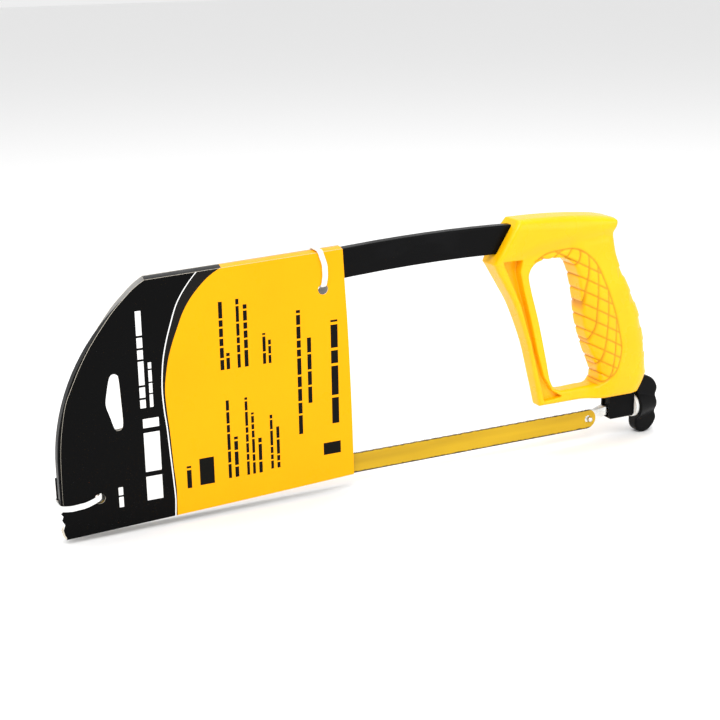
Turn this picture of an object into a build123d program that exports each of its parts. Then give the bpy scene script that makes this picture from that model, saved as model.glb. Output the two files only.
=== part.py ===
from build123d import *
import math
import os

# Fixed-bow hacksaw with a 300 mm blade, its moulded handle, its winged tension knob and the retail card
# that is tied round its front half.
# All lengths are millimetres. The design is laid out from the front blade pin: X towards the handle,
# Y away from the side that carries the blade, Z up from the blade's centre line. Each sub-part is then
# shifted so that the origin is at the middle of the saw's underside.

# Overall
FRONT_END_X = -26.7          # front of the tie that goes round the nose
REAR_END_X = 349.8           # outer face of the tension knob
KNOB_RADIUS = 18.2           # reach of the knob's wings
AXIS_Z = 3.6                 # height of both studs above the blade's centre line

# Blade and its pins
BLADE_SPAN = 300.0           # between the two holes
BLADE_LENGTH = 311.0
BLADE_WIDTH = 12.1
BLADE_THICK = 0.65
BLADE_HOLE_R = 2.2
PIN_R = 1.5
PIN_REACH = 3.9              # how far a pin's end stands from the middle plane
PIN_OUTSET = 0.65            # each pin bears on the outer side of its hole
SEAT_Y = -1.0                # face of the paddles that the blade lies on

# Flat bar of the bow
BAR_DEPTH = 16.4
BAR_THICK = 6.4
BAR_EDGE_R = 1.0
BAR_FOOT_Z = 6.3             # both ends of the bar stop just above the studs
NOSE_X = -25.2
NOSE_RISE = 19.4
FLANK_R, FLANK_TURN = 107.0, 51.0
SHOULDER_R, SHOULDER_TURN = 36.0, 35.0
BACK_RUN = 109.0
CROWN_R, CROWN_TURN = 1000.0, 6.0
HEEL_R, HEEL_TURN = 46.4, 70.0
TAIL_R, TAIL_TURN = 68.2, 18.0
TAIL_DROP = 19.4
TAIL_X = 331.2               # rear edge of the bar's tail

# Sheet sockets that wrap the bar's ends and carry the studs
SHEET = 1.2
SOCKET_HALF = BAR_THICK / 2 + SHEET
SOCKET_BASE_Z = -1.7
SOCKET_TOP_Z = 19.8
FRONT_SOCKET_X = (-25.6, -8.2)
REAR_SOCKET_X = (313.6, 332.0)
NOTCH_X = -20.6              # the front socket is cut back to here for the stud's head
RIVET_R = 1.5
RIVET_Z = 17.0

# Studs
SHANK = 5.2                  # square
PADDLE_THICK = 3.2
PADDLE_HEIGHT = 7.8
PADDLE_MID_Z = 0.7
PADDLE_LENGTH = 11.5
FRONT_TAPER = (5.3, 7.6)     # from the pin to the square shank
REAR_TAPER = (5.3, 11.0)
HEAD_LENGTH = 3.0
SHANK_END_X = 331.4
THREAD_END_X = 347.4
THREAD_R = 2.95
THREAD_ROOT_R = 2.45
THREAD_PITCH = 1.0

# Tension knob
WASHER_R = 7.2
WASHER_BORE_R = 3.1
WASHER_X = (332.15, 334.0)
KNOB_BASE_X = 334.1
HUB_BASE_R, HUB_END_R = 9.4, 5.8
WING_HALF = 4.2
WING_FRONT_R, WING_REAR_R = 4.5, 8.5
WING_EDGE_R = 1.6
WING_INSET = 0.3             # the wings' sides stand inside the hub's two ends
HUB_END_FILLET = 2.0
NUT_ACROSS_FLATS = 10.0
NUT_X = (334.6, 340.6)
NUT_BORE_R = 3.0
KNOB_BORE_R = 3.4
KNOB_MOUTH_R = 4.9           # in front of the nut
KNOB_BORE_END_X = 347.8

# Moulded handle
WEB_FOOT_HALF, WEB_TOP_HALF = 5.2, 8.0
POCKET_WEB = 3.2             # plastic left between the two side pockets
HANDLE_FOOT_Z = 14.6
HANDLE_HALF_MAX = 20.0       # more than the handle's half width
WEB_X = (220.0, 310.0)
WEB_Z = (10.0, 110.0)
GRIP_SECTIONS = (            # height, front edge, rear edge, half width
    (27.0, 304.0, 338.2, 12.8),
    (45.0, 297.2, 336.8, 13.9),
    (65.0, 291.6, 331.7, 14.0),
    (85.0, 288.2, 322.4, 12.8),
    (103.0, 282.0, 313.4, 10.6),
    (113.0, 278.0, 311.4, 10.0),
)
FOOT_SECTION = (HANDLE_FOOT_Z, 300.0, 332.4, 10.4)
TOP_SECTIONS = (             # distance along the saw, lower edge, upper edge, half width
    (224.0, 102.0, 129.0, 8.6),
    (245.0, 106.0, 129.9, 9.4),
    (275.0, 111.0, 129.2, 11.2),
    (300.0, 114.0, 127.0, 11.5),
    (314.0, 116.0, 124.6, 10.4),
)

# Retail card and its ties
CARD_HALF = 5.2
CARD_THICK = 0.5
CARD_X = (28.5, 135.2)
CARD_FOLD_Z = (120.3, 124.4)
CARD_FOOT = ((-24.4, -11.8), (139.9, -5.1))
CARD_SKEW = 2.2              # the far panel hangs this much nearer the handle
SLOT_SLACK = (3.4, -2.5)     # the far panel's slot is cut larger, so that a peg passes straight through
TIE_HOLE_R = 2.9
FRONT_TIE_HOLE = (-5.2, 7.9)
REAR_TIE_HOLE = (123.3, 103.6)
TIE_THICK = 1.0
TIE_WIDTH = 3.0
TIE_LIFT = 1.1               # outer side of the rear tie above the end of the fold
TIE_HANG = 1.6               # the rear tie's lower leg runs this much above the middle of its holes
TIE_OUTER_HALF = 6.4
TIE_HEAD = (4.4, 3.2, 5.2)   # along the strap's width, out from the card, along the strap
FRONT_TIE_HEAD_X = -17.0
REAR_TIE_HEAD_Z = 112.0


def side_extrude(profile, low_y, high_y):
    """A profile drawn in X and Z, as a plate between two values of Y."""
    return extrude(Plane.XZ.offset(-high_y) * profile, amount=high_y - low_y)


def block(x_range, y_range, z_range):
    size = [high - low for low, high in (x_range, y_range, z_range)]
    middle = [(low + high) / 2 for low, high in (x_range, y_range, z_range)]
    return Pos(*middle) * Box(*size)


def rod_along_x(radius, x_range, z=AXIS_Z):
    length = x_range[1] - x_range[0]
    return Pos(sum(x_range) / 2, 0, z) * Rot(0, 90, 0) * Cylinder(radius, length)


def rod_across(radius, x, z, low_y, high_y):
    return Pos(x, (low_y + high_y) / 2, z) * Rot(90, 0, 0) * Cylinder(radius, high_y - low_y)


def arc_step(radius, heading, turn):
    """Displacement along an arc that turns clockwise from a heading, in degrees."""
    start, end = math.radians(heading), math.radians(heading - turn)
    return radius * (math.sin(start) - math.sin(end)), radius * (math.cos(end) - math.cos(start))


def bow_segments():
    """The bow's outer edge from the nose to the tail, as lengths and clockwise arcs."""
    segments = [
        (NOSE_RISE, None), (FLANK_R, FLANK_TURN), (SHOULDER_R, SHOULDER_TURN), (BACK_RUN, None),
        (CROWN_R, CROWN_TURN), "top run", (HEEL_R, HEEL_TURN), "grip run", (TAIL_R, TAIL_TURN),
        (TAIL_DROP, None),
    ]
    x, z, heading, open_headings = NOSE_X, BAR_FOOT_Z, 90.0, []
    for segment in segments:
        if isinstance(segment, str):
            open_headings.append(math.radians(heading))
            continue
        size, turn = segment
        if turn is None:
            step = size * math.cos(math.radians(heading)), size * math.sin(math.radians(heading))
        else:
            step = arc_step(size, heading, turn)
            heading -= turn
        x, z = x + step[0], z + step[1]
    # The two open runs close the outline on the tail.
    gap_x, gap_z = TAIL_X - x, BAR_FOOT_Z - z
    (c1, s1), (c2, s2) = [(math.cos(a), math.sin(a)) for a in open_headings]
    top_run = (gap_x * s2 - gap_z * c2) / (c1 * s2 - s1 * c2)
    grip_run = (gap_z * c1 - gap_x * s1) / (c1 * s2 - s1 * c2)
    segments[segments.index("top run")] = (top_run, None)
    segments[segments.index("grip run")] = (grip_run, None)
    return segments


def bow_edge(inset):
    """The bow's outline at a distance inside its outer edge."""
    point, heading, edges = Vector(NOSE_X + inset, BAR_FOOT_Z), 90.0, []
    for size, turn in bow_segments():
        direction = Vector(math.cos(math.radians(heading)), math.sin(math.radians(heading)))
        if turn is None:
            edges.append(Line(point, point + direction * size))
        else:
            edges.append(JernArc(point, direction, size - inset, -turn))
            heading -= turn
        point = edges[-1] @ 1
    return edges


def make_frame_bow():
    outer, inner = bow_edge(0.0), bow_edge(BAR_DEPTH)
    caps = [Line(outer[0] @ 0, inner[0] @ 0), Line(outer[-1] @ 1, inner[-1] @ 1)]
    bow = side_extrude(make_face(outer + inner + caps), -BAR_THICK / 2, BAR_THICK / 2)
    rims = [edge for edge in bow.edges() if abs(abs(edge.center().Y) - BAR_THICK / 2) < 0.01]
    bow = fillet(rims, BAR_EDGE_R)
    return bow - make_socket_rivet(FRONT_SOCKET_X) - make_socket_rivet(REAR_SOCKET_X)


def make_socket(profile, x_range):
    """Folded sheet: two side walls joined by a web under the stud."""
    shell = side_extrude(profile, -SOCKET_HALF, SOCKET_HALF)
    channel = block((x_range[0] - 1, x_range[1] + 1), (-BAR_THICK / 2, BAR_THICK / 2),
                    (SOCKET_BASE_Z + SHEET, SOCKET_TOP_Z + 1))
    return shell - channel - make_socket_rivet(x_range)


def front_socket_profile():
    x0, x1 = FRONT_SOCKET_X
    points = [(x0, SOCKET_TOP_Z), (x0, 8.0), (NOTCH_X, BAR_FOOT_Z), (NOTCH_X, SOCKET_BASE_Z),
              (x1, SOCKET_BASE_Z), (x1, SOCKET_TOP_Z)]
    return make_face(Polyline(*points, close=True))


def rear_socket_profile():
    x0, x1 = REAR_SOCKET_X
    points = [(x0, SOCKET_TOP_Z), (x0, SOCKET_BASE_Z), (x1, SOCKET_BASE_Z), (x1, SOCKET_TOP_Z)]
    return fillet(make_face(Polyline(*points, close=True)).vertices().group_by(Axis.Y)[0], 1.5)


def make_socket_rivet(x_range):
    """Flush rivet through both walls of a socket and the bar between them."""
    return rod_across(RIVET_R, sum(x_range) / 2, RIVET_Z, -SOCKET_HALF, SOCKET_HALF)


def cross_section(x, y_range, z_range):
    width, height = y_range[1] - y_range[0], z_range[1] - z_range[0]
    plane = Plane(origin=(x, sum(y_range) / 2, sum(z_range) / 2), x_dir=(0, 1, 0), z_dir=(1, 0, 0))
    return plane * Rectangle(width, height)


def make_stud_body(pin_x, taper, shank_end):
    """Flat paddle, taper and square shank of the rear stud; taper gives its two distances from the pin."""
    square = (AXIS_Z - SHANK / 2, AXIS_Z + SHANK / 2)
    paddle_z = (PADDLE_MID_Z - PADDLE_HEIGHT / 2, PADDLE_MID_Z + PADDLE_HEIGHT / 2)
    paddle_y = (SEAT_Y, SEAT_Y + PADDLE_THICK)
    start, end = pin_x + taper[0], pin_x + taper[1]
    outline = Pos(start - PADDLE_LENGTH / 2, PADDLE_MID_Z) * RectangleRounded(PADDLE_LENGTH, PADDLE_HEIGHT, 3.4)
    root = Pos(start - PADDLE_LENGTH / 4, PADDLE_MID_Z) * Rectangle(PADDLE_LENGTH / 2, PADDLE_HEIGHT)
    paddle = side_extrude(outline + root, *paddle_y)
    neck = loft([cross_section(start, paddle_y, paddle_z),
                 cross_section(end, (-SHANK / 2, SHANK / 2), square)], ruled=True)
    shank = block((end, shank_end), (-SHANK / 2, SHANK / 2), square)
    return paddle + neck + shank


def make_thread(x0, x1):
    """Threaded end, as rings of thread profile."""
    points = [(x0, 0.0), (x0, THREAD_ROOT_R)]
    turns = int((x1 - x0) / THREAD_PITCH)
    for turn in range(turns):
        left = x0 + turn * THREAD_PITCH
        points += [(left + 0.5 * THREAD_PITCH, THREAD_R), (left + THREAD_PITCH, THREAD_ROOT_R)]
    points.append((x0 + turns * THREAD_PITCH, 0.0))
    return Pos(0, 0, AXIS_Z) * revolve(Plane.XZ * make_face(Polyline(*points, close=True)), Axis.X)


def make_rear_stud():
    body = make_stud_body(BLADE_SPAN + PIN_OUTSET, REAR_TAPER, SHANK_END_X)
    return body + make_thread(SHANK_END_X, THREAD_END_X) - make_rear_blade_pin()


def make_front_stud():
    """The rear stud's mirror image, with a shorter taper and an upset head in place of the thread."""
    square = (AXIS_Z - SHANK / 2, AXIS_Z + SHANK / 2)
    body = mirror(make_stud_body(PIN_OUTSET, FRONT_TAPER, -NOTCH_X), about=Plane.YZ)
    head = block((NOTCH_X - HEAD_LENGTH, NOTCH_X), (0.2 - SOCKET_HALF, SOCKET_HALF - 0.2), square)
    head = chamfer(head.faces().sort_by(Axis.X)[0].edges(), 0.6)
    return body + head - make_front_blade_pin()


def make_blade_pin(x):
    pin = rod_across(PIN_R, x, 0.0, -PIN_REACH, SEAT_Y + PADDLE_THICK)
    return fillet(pin.edges().sort_by(Axis.Y)[0], 0.8)


def make_front_blade_pin():
    return make_blade_pin(-PIN_OUTSET)


def make_rear_blade_pin():
    return make_blade_pin(BLADE_SPAN + PIN_OUTSET)


def make_blade():
    outline = Pos(BLADE_SPAN / 2, 0) * SlotOverall(BLADE_LENGTH, BLADE_WIDTH)
    for x in (0.0, BLADE_SPAN):
        outline -= Pos(x, 0) * Circle(BLADE_HOLE_R)
    return side_extrude(outline, SEAT_Y - BLADE_THICK, SEAT_Y)


def make_tension_washer():
    return rod_along_x(WASHER_R, WASHER_X) - rod_along_x(WASHER_BORE_R, WASHER_X)


def make_knob_nut():
    length = NUT_X[1] - NUT_X[0]
    hexagon = RegularPolygon(NUT_ACROSS_FLATS / 2, 6, major_radius=False)
    prism = Pos(NUT_X[0], 0, AXIS_Z) * Rot(0, 90, 0) * extrude(hexagon, amount=length)
    return prism - rod_along_x(NUT_BORE_R, NUT_X)


def make_tension_knob():
    """Tapered hub with two rounded wings, moulded round its nut."""
    depth = REAR_END_X - KNOB_BASE_X
    hub = Pos(KNOB_BASE_X + depth / 2, 0, AXIS_Z) * Rot(0, 90, 0) * Cone(HUB_BASE_R, HUB_END_R, depth)
    hub = fillet(hub.edges().filter_by(GeomType.CIRCLE).sort_by(Axis.X)[-1], HUB_END_FILLET)
    outline = Pos(KNOB_BASE_X + depth / 2, AXIS_Z) * Rectangle(depth - WING_INSET, 2 * KNOB_RADIUS)
    outline = fillet(outline.vertices().group_by(Axis.X)[0], WING_FRONT_R)
    outline = fillet(outline.vertices().group_by(Axis.X)[-1], WING_REAR_R)
    wings = side_extrude(outline, -WING_HALF, WING_HALF)
    wings = fillet(wings.faces().filter_by(Axis.Y).edges(), WING_EDGE_R)
    bore = rod_along_x(KNOB_BORE_R, (KNOB_BASE_X - 1, KNOB_BORE_END_X))
    mouth = rod_along_x(KNOB_MOUTH_R, (KNOB_BASE_X - 1, NUT_X[0]))
    hexagon = RegularPolygon(NUT_ACROSS_FLATS / 2, 6, major_radius=False)
    seat = Pos(NUT_X[0], 0, AXIS_Z) * Rot(0, 90, 0) * extrude(hexagon, amount=NUT_X[1] - NUT_X[0])
    return hub + wings - bore - mouth - seat


def handle_outline():
    """Outer side outline of the handle, without its opening."""
    top = Spline((243.8, 129.4), (262.0, 129.3), (280.0, 128.5), (300.0, 126.6), (309.5, 124.8))
    back = Spline((310.8, 123.4), (310.0, 112.0), (315.2, 95.2), (327.5, 72.3), (335.2, 47.4),
                  (337.6, 27.0))
    foot = Polyline((337.6, 27.0), (330.6, HANDLE_FOOT_Z), (263.2, HANDLE_FOOT_Z))
    front = Spline((263.2, HANDLE_FOOT_Z), (259.0, 32.3), (253.3, 54.7), (244.8, 76.9), (237.7, 89.8),
                   (228.6, 105.0))
    nose = Line((228.6, 105.0), (243.8, 129.4))
    corner = Line((309.5, 124.8), (310.8, 123.4))
    return make_face([*top.edges(), *corner.edges(), *back.edges(), *foot.edges(), *front.edges(),
                      *nose.edges()])


def hand_opening():
    """Finger opening of the handle, a closed loop through the points that give its shape."""
    points = [(252.7, 97.2), (257.0, 102.9), (266.0, 104.4), (276.5, 103.6), (284.0, 97.6), (288.4, 83.0),
              (292.2, 61.0), (298.4, 43.0), (304.6, 30.0), (303.4, 23.4), (291.0, 22.6), (276.8, 22.9),
              (270.6, 28.6), (266.4, 44.5), (260.4, 67.5), (253.9, 89.0)]
    return make_face(Spline(*points, periodic=True))


def pocket_outline():
    """Side pocket that lightens the handle's front column."""
    points = [(234.4, 106.0), (247.2, 105.8), (246.0, 99.0), (248.6, 88.5), (255.2, 66.5), (260.4, 47.0),
              (265.0, 33.0), (271.0, 23.6), (278.6, 18.8), (265.9, 17.8), (262.2, 31.0), (255.4, 55.4),
              (247.2, 79.4), (239.2, 96.0)]
    return make_face(Polyline(*points, close=True))


def grip_section(section, corner=0.9):
    height, front, rear, half = section
    rectangle = RectangleRounded(rear - front, 2 * half, corner * half)
    return Pos((front + rear) / 2, 0, height) * rectangle


def top_section(section):
    x, low, high, half = section
    plane = Plane(origin=(x, 0, (low + high) / 2), x_dir=(0, 1, 0), z_dir=(1, 0, 0))
    return plane * RectangleRounded(2 * half, high - low, min(0.7 * half, 0.42 * (high - low)))


def make_handle():
    """Handle moulded round the bow's rear end."""
    web_profile = Polyline((-WEB_FOOT_HALF, WEB_Z[0]), (WEB_FOOT_HALF, WEB_Z[0]), (WEB_TOP_HALF, WEB_Z[1]),
                           (-WEB_TOP_HALF, WEB_Z[1]), close=True)
    web = Pos(WEB_X[0], 0, 0) * extrude(Plane.YZ * make_face(web_profile), amount=WEB_X[1] - WEB_X[0])
    grip = loft([grip_section(section) for section in GRIP_SECTIONS])
    foot = loft([grip_section(FOOT_SECTION), grip_section(GRIP_SECTIONS[0])], ruled=True)
    top = loft([top_section(section) for section in TOP_SECTIONS])
    envelope = side_extrude(handle_outline(), -HANDLE_HALF_MAX, HANDLE_HALF_MAX)
    body = (web + grip + foot + top) & envelope
    body -= side_extrude(hand_opening(), -HANDLE_HALF_MAX, HANDLE_HALF_MAX)
    body -= side_extrude(pocket_outline(), -HANDLE_HALF_MAX, -POCKET_WEB / 2)
    body -= side_extrude(pocket_outline(), POCKET_WEB / 2, HANDLE_HALF_MAX)
    socket_space = block(REAR_SOCKET_X, (-SOCKET_HALF, SOCKET_HALF), (SOCKET_BASE_Z, SOCKET_TOP_Z))
    return body - make_frame_bow() - socket_space


def card_outline():
    """Side outline of one panel of the card: its front edge follows the bow's nose."""
    foot_front, foot_rear = CARD_FOOT
    front = Spline(foot_front, (-24.3, 18.0), (-23.2, 40.0), (-19.7, 59.3), (-15.1, 70.4),
                   (-9.9, 80.8), (-3.6, 91.0), (6.5, 104.0), (13.3, 110.6), (CARD_X[0], CARD_FOLD_Z[0]))
    rest = Polyline(front @ 1, (CARD_X[1], CARD_FOLD_Z[1]), foot_rear, front @ 0)
    return make_face([*front.edges(), *rest.edges()])


def hang_slot():
    """Slot that the card hangs by, straight on one side and humped on the other."""
    points = [(8.9, 72.8), (9.6, 44.2), (5.2, 43.6), (1.2, 58.6), (4.4, 73.2)]
    slot = make_face(Polyline(*points, close=True))
    return fillet(slot.vertices(), 1.6)


def card_fold():
    """Strip along the top of the card, slanted from the near panel to the far one."""
    (x0, x1), (z0, z1) = CARD_X, CARD_FOLD_Z
    profile = Polyline((x0, z0), (x1, z1), (x1, z1 - CARD_THICK), (x0, z0 - CARD_THICK), close=True)
    near = Plane.XZ.offset(CARD_HALF) * make_face(profile)
    far = Plane.XZ.offset(-CARD_HALF) * Pos(CARD_SKEW, 0) * make_face(profile)
    return loft([near, far], ruled=True)


def make_display_card():
    """Folded card that hangs over the bow, open below and at both ends."""
    inner = CARD_HALF - CARD_THICK
    near = side_extrude(card_outline(), -CARD_HALF, -inner) - side_extrude(hang_slot(), -CARD_HALF, -inner)
    far_slot = hang_slot() + Pos(*SLOT_SLACK) * hang_slot()
    far = side_extrude(Pos(CARD_SKEW, 0) * card_outline(), inner, CARD_HALF)
    far -= side_extrude(far_slot, inner, CARD_HALF)
    card = near + far + card_fold()
    for x, z in (FRONT_TIE_HOLE, REAR_TIE_HOLE):
        card -= rod_across(TIE_HOLE_R, x, z, -CARD_HALF, CARD_HALF)
    return card


def tie_ring(length):
    """Cross-section of a closed strap, with one leg along each panel of the card."""
    outer = RectangleRounded(2 * TIE_OUTER_HALF, length, 2.0)
    inner = RectangleRounded(2 * (TIE_OUTER_HALF - TIE_THICK), length - 2 * TIE_THICK, 1.0)
    return outer - inner


def make_card_tie_front():
    """Strap round the bow's nose, through the lower holes of the card."""
    rear_x = FRONT_TIE_HOLE[0] + TIE_THICK / 2
    length = rear_x - FRONT_END_X
    z = FRONT_TIE_HOLE[1] - TIE_WIDTH / 2
    ring = extrude(Rot(0, 0, 90) * tie_ring(length), amount=TIE_WIDTH)
    ring = Pos(FRONT_END_X + length / 2, 0, z) * ring
    width, out, along = TIE_HEAD
    head_y = TIE_OUTER_HALF - TIE_THICK
    middle_z = FRONT_TIE_HOLE[1]
    head = block((FRONT_TIE_HEAD_X, FRONT_TIE_HEAD_X + along), (head_y, head_y + out),
                 (middle_z - width / 2, middle_z + width / 2))
    return ring + fillet(head.edges(), 0.5)


def make_card_tie_rear():
    """Strap over the card's fold, through the upper holes of the card and under the bow."""
    top_z = CARD_FOLD_Z[1] + TIE_LIFT
    low_z = REAR_TIE_HOLE[1] + TIE_HANG - TIE_THICK / 2
    length = top_z - low_z
    ring = extrude(Plane.YZ * tie_ring(length), amount=TIE_WIDTH)
    ring = Pos(REAR_TIE_HOLE[0] - TIE_WIDTH / 2, 0, low_z + length / 2) * ring
    width, out, along = TIE_HEAD
    head_y = TIE_OUTER_HALF - TIE_THICK
    x = REAR_TIE_HOLE[0]
    head = block((x - width / 2, x + width / 2), (head_y, head_y + out),
                 (REAR_TIE_HEAD_Z, REAR_TIE_HEAD_Z + along))
    return ring + fillet(head.edges(), 0.5)


def make_parts():
    return {
        "frame_bow": make_frame_bow(),
        "handle": make_handle(),
        "front_socket": make_socket(front_socket_profile(), FRONT_SOCKET_X),
        "rear_socket": make_socket(rear_socket_profile(), REAR_SOCKET_X),
        "front_socket_rivet": make_socket_rivet(FRONT_SOCKET_X),
        "rear_socket_rivet": make_socket_rivet(REAR_SOCKET_X),
        "front_stud": make_front_stud(),
        "rear_stud": make_rear_stud(),
        "front_blade_pin": make_front_blade_pin(),
        "rear_blade_pin": make_rear_blade_pin(),
        "blade": make_blade(),
        "tension_washer": make_tension_washer(),
        "knob_nut": make_knob_nut(),
        "tension_knob": make_tension_knob(),
        "display_card": make_display_card(),
        "card_tie_front": make_card_tie_front(),
        "card_tie_rear": make_card_tie_rear(),
    }


os.makedirs("parts", exist_ok=True)
origin = Pos(-(FRONT_END_X + REAR_END_X) / 2, 0, KNOB_RADIUS - AXIS_Z)
for node, shape in make_parts().items():
    export_step(origin * shape, f"parts/{node}.step")
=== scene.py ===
import math

import bpy
import numpy as np
from mathutils import Matrix, Vector
from mathutils.geometry import delaunay_2d_cdt


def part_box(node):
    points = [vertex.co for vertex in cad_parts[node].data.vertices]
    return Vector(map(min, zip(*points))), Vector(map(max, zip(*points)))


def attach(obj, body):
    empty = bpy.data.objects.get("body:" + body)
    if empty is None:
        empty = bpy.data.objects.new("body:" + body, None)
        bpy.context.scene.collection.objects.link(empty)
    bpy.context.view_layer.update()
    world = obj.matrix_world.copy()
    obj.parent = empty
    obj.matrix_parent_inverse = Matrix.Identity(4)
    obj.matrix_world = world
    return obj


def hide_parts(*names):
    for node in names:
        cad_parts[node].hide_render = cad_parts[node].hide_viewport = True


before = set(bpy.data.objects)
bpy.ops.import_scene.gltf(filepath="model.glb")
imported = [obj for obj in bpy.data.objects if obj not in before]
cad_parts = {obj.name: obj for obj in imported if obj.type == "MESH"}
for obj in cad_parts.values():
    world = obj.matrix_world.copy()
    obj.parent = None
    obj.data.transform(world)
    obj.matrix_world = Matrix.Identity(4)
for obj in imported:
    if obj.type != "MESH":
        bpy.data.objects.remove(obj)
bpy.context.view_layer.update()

# Hacksaw. The pieces are laid out in millimetres from the front blade pin, as X towards the handle,
# Y away from the blade's side and Z up, and are then placed in the frame from that pin's own position.

MM = 0.001
PIN_OUTSET = 0.65            # the front pin stands this far in front of the layout's origin
AXIS_Z = 3.6                 # studs and knob
PRINT_SEED = 11

low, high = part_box("front_blade_pin")
ORIGIN = Vector(((low.x + high.x) / 2 + PIN_OUTSET * MM, 0.0, (low.z + high.z) / 2))


# ---------------------------------------------------------------- mesh helpers

def add_piece(name, points, faces, materials, body, nodes, face_materials=None, normals=None):
    """A mesh from points in layout millimetres, riding on a body and standing for CAD nodes."""
    mesh = bpy.data.meshes.new(name)
    placed = np.asarray(points, float) * MM + np.array(ORIGIN)
    mesh.from_pydata(placed.tolist(), [], [list(map(int, face)) for face in faces])
    for material in materials:
        mesh.materials.append(material)
    mesh.polygons.foreach_set("use_smooth", [normals is not None] * len(mesh.polygons))
    if face_materials is not None:
        mesh.polygons.foreach_set("material_index", list(face_materials))
    mesh.update()
    if normals is not None:
        mesh.normals_split_custom_set_from_vertices(np.asarray(normals, float).tolist())
    piece = bpy.data.objects.new(name, mesh)
    bpy.context.scene.collection.objects.link(piece)
    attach(piece, body)
    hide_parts(*nodes)
    return piece


def smooth_curve(points, closed=False, steps=10):
    """Catmull-Rom curve through points."""
    points = np.array(points, float)
    count = len(points)
    if closed:
        spans = [[points[(i + k) % count] for k in (-1, 0, 1, 2)] for i in range(count)]
    else:
        ends = np.vstack([2 * points[0] - points[1], points, 2 * points[-1] - points[-2]])
        spans = [ends[i:i + 4] for i in range(count - 1)]
    t = np.arange(steps)[:, None] / steps
    curve = [0.5 * (2 * b + (c - a) * t + (2 * a - 5 * b + 4 * c - d) * t ** 2
                    + (3 * b - a - 3 * c + d) * t ** 3) for a, b, c, d in spans]
    if not closed:
        curve.append(points[-1:])
    return np.vstack(curve)


def line_distance(line, x, z, closed=False):
    """Distance from the points x, z to a polyline."""
    ends = np.roll(line, -1, axis=0) if closed else line[1:]
    best = np.full(np.shape(x), 1e9)
    for (ax, az), (bx, bz) in zip(line, ends):
        dx, dz = bx - ax, bz - az
        t = np.clip(((x - ax) * dx + (z - az) * dz) / max(dx * dx + dz * dz, 1e-12), 0, 1)
        best = np.minimum(best, (x - ax - t * dx) ** 2 + (z - az - t * dz) ** 2)
    return np.sqrt(best)


def inside_outline(line, x, z):
    found = np.zeros(np.shape(x), bool)
    for (ax, az), (bx, bz) in zip(line, np.roll(line, -1, axis=0)):
        if az != bz:
            found ^= ((az > z) != (bz > z)) & (x < (bx - ax) * (z - az) / (bz - az) + ax)
    return found


def outline_distance(line, x, z):
    """Signed distance to a closed outline, negative inside."""
    return np.where(inside_outline(line, x, z), -1.0, 1.0) * line_distance(line, x, z, closed=True)


def smooth_max(a, b, k):
    blend = np.maximum(k - np.abs(a - b), 0.0) / k
    return np.maximum(a, b) + 0.25 * k * blend * blend


def smooth_min(a, b, k):
    return -smooth_max(-a, -b, k)


def smooth_step(edge0, edge1, value):
    t = np.clip((value - edge0) / (edge1 - edge0), 0, 1)
    return t * t * (3 - 2 * t)


def rounded(a, b, radius):
    """Section of a prism whose two signed distances a and b meet in a rounded edge."""
    qa, qb = a + radius, b + radius
    corner = np.hypot(np.maximum(qa, 0), np.maximum(qb, 0))
    return corner + np.minimum(np.maximum(qa, qb), 0) - radius


def sample_field(field, cells):
    """Trilinear value of a field at positions in grid cells."""
    base = np.clip(np.floor(cells).astype(int), 0, np.array(field.shape) - 2)
    part = cells - base
    total = 0.0
    for corner in np.ndindex(2, 2, 2):
        weight = np.prod(np.where(corner, part, 1 - part), axis=1)
        total = total + weight * field[tuple((base + corner).T)]
    return total


def surface_net(field, start, step):
    """Points, quads and normals of a field's zero surface."""
    solid = field < 0
    count = np.zeros(tuple(n - 1 for n in field.shape), int)
    for corner in np.ndindex(2, 2, 2):
        count += solid[tuple(slice(c, c + n - 1) for c, n in zip(corner, field.shape))]
    cells = np.argwhere((count > 0) & (count < 8))
    number = np.full(count.shape, -1)
    number[tuple(cells.T)] = np.arange(len(cells))
    total, crossings = np.zeros((len(cells), 3)), np.zeros(len(cells))
    for axis in range(3):
        others = [k for k in range(3) if k != axis]
        for shift in np.ndindex(2, 2):
            a = np.zeros(3, int)
            a[others] = shift
            b = a.copy()
            b[axis] = 1
            fa, fb = field[tuple((cells + a).T)], field[tuple((cells + b).T)]
            crossed = (fa < 0) != (fb < 0)
            t = np.where(crossed, fa / np.where(crossed, fa - fb, 1), 0)
            total += crossed[:, None] * (a + t[:, None] * (b - a))
            crossings += crossed
    points = cells + total / crossings[:, None]
    slopes = np.gradient(field)
    for _ in range(2):
        slope = np.stack([sample_field(g, points) for g in slopes], axis=1)
        value = sample_field(field, points)
        move = slope * (value / np.maximum((slope ** 2).sum(axis=1), 0.2))[:, None]
        points = points - np.clip(move, -0.4, 0.4)
    slope = np.stack([sample_field(g, points) for g in slopes], axis=1)
    quads = []
    for axis in range(3):
        p, q = [(1, 2), (2, 0), (0, 1)][axis]
        first = [slice(1, n - 1) for n in field.shape]
        second = list(first)
        first[axis], second[axis] = slice(0, -1), slice(1, None)
        lower, upper = solid[tuple(first)], solid[tuple(second)]
        where = np.argwhere(lower != upper)
        outward = lower[tuple(where.T)]
        where = where + 1
        where[:, axis] -= 1
        ring = []
        for dp, dq in ((-1, -1), (0, -1), (0, 0), (-1, 0)):
            cell = where.copy()
            cell[:, p] += dp
            cell[:, q] += dq
            ring.append(number[tuple(cell.T)])
        ring = np.stack(ring, axis=1)
        ring[~outward] = ring[~outward][:, ::-1]
        quads.append(ring)
    normals = slope / np.linalg.norm(slope, axis=1)[:, None]
    return np.array(start) + points * step, np.vstack(quads), normals


def grid_axes(box, step):
    return [np.arange(lowest, highest + step, step) for lowest, highest in box]


# ---------------------------------------------------------------- materials

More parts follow.
